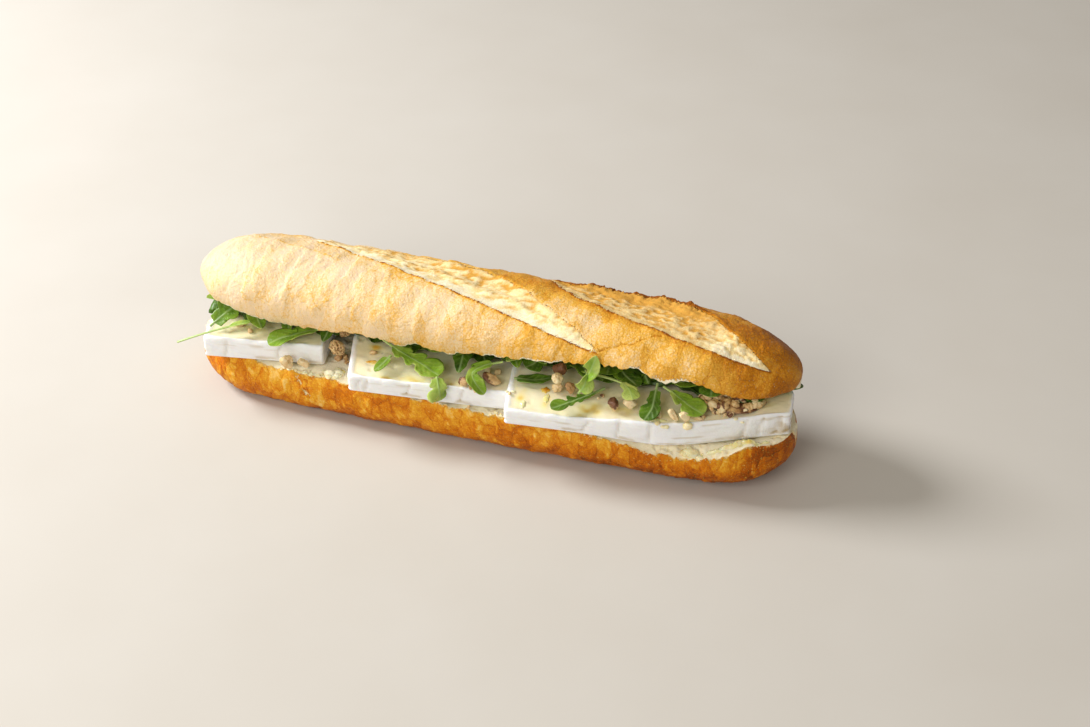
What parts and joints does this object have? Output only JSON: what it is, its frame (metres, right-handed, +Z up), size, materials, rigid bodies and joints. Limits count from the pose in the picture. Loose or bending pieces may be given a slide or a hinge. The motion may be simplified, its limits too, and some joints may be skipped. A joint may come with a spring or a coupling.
{
  "type": "brie and honey sandwich",
  "caption": "Split demi-baguette filled with thick slices of brie, honey, arugula leaves and pieces of walnut and hazelnut.",
  "frame": {"origin": "middle of the box at the height of the surface it rests on", "axes": "+X along the loaf towards its scored right end, +Y to the back, away from the side that shows the filling, +Z up"},
  "size_m": [0.2742, 0.0722, 0.0676],
  "materials": {
    "crust_gold": "baked crust, satin, deep golden brown with pale flecks",
    "crust_pale": "baked crust, satin, pale gold and blistered, cream crumb in the scores",
    "brie": "chalky white rind round a cream paste with a thin gloss of honey",
    "arugula": "fresh leaf, waxy, with a paler midrib",
    "nut": "broken kernel, dry, cream to tan",
    "nut_skin": "dark brown papery nut skin"
  },
  "bodies": {
    "root": {"bread_bottom": "crust_gold", "bread_top": "crust_pale", "brie_left": "brie", "brie_middle": "brie", "brie_right": "brie", "arugula_leaf_01": "arugula", "arugula_leaf_02": "arugula", "arugula_leaf_03": "arugula", "arugula_leaf_04": "arugula", "arugula_leaf_05": "arugula", "arugula_leaf_06": "arugula", "arugula_leaf_07": "arugula", "arugula_leaf_08": "arugula", "arugula_leaf_09": "arugula", "arugula_leaf_10": "arugula", "arugula_leaf_11": "arugula", "arugula_leaf_12": "arugula", "arugula_leaf_13": "arugula", "arugula_bed": "arugula", "walnut_piece_left": "nut", "walnut_piece_left_back": "nut", "nut_piece_left_rim": "nut", "nut_piece_left_rim_small": "nut", "nut_piece_middle_front": "nut", "nut_piece_middle": "nut", "nut_skin_dark": "nut_skin", "nut_piece_centre_pale": "nut", "nut_piece_centre_low": "nut", "hazelnut_piece_orange": "nut", "hazelnut_half": "nut_skin", "nut_piece_right_pale": "nut", "nut_piece_right_row_a": "nut", "nut_piece_right_row_b": "nut", "chopped_nuts": "nut"}
  },
  "joints": []
}
